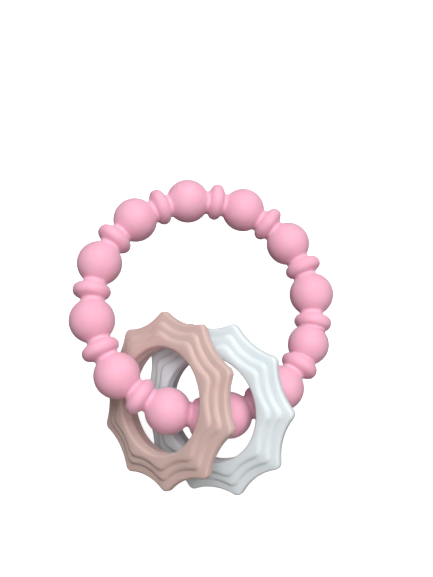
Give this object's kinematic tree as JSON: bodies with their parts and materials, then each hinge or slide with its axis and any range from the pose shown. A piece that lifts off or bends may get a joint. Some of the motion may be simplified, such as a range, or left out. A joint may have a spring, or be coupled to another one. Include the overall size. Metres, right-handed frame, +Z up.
{
  "type": "teething ring",
  "caption": "Soft silicone teether: a closed strand of round beads and lens-shaped discs carrying two sun-shaped stepped rings that slide along it.",
  "frame": {"origin": "middle of the object's box, on the surface it lies on", "axes": "+Z up; +Y points away from the two rings, across the open middle of the strand; +X towards the closure bead's side"},
  "size_m": [0.094, 0.1134, 0.0402],
  "materials": {
    "pink_silicone": "soft matt",
    "tan_silicone": "soft matt",
    "white_silicone": "soft matt"
  },
  "bodies": {
    "strand": {"beaded_strand": "pink_silicone", "closure_bead": "pink_silicone"},
    "tan_ring": {"tan_sun_ring": "tan_silicone"},
    "white_ring": {"white_sun_ring": "white_silicone"}
  },
  "joints": [
    {"name": "tan_ring_travel", "type": "hinge", "parent": "strand", "child": "tan_ring", "pos_m": [-0.00018, 0.00914, 0.01521], "axis": [0.1685, 0.0764, 0.9827], "range_deg": [-130, 0]},
    {"name": "white_ring_travel", "type": "hinge", "parent": "strand", "child": "white_ring", "pos_m": [-0.00018, 0.00914, 0.01521], "axis": [0.1685, 0.0764, 0.9827], "range_deg": [0, 130]}
  ]
}
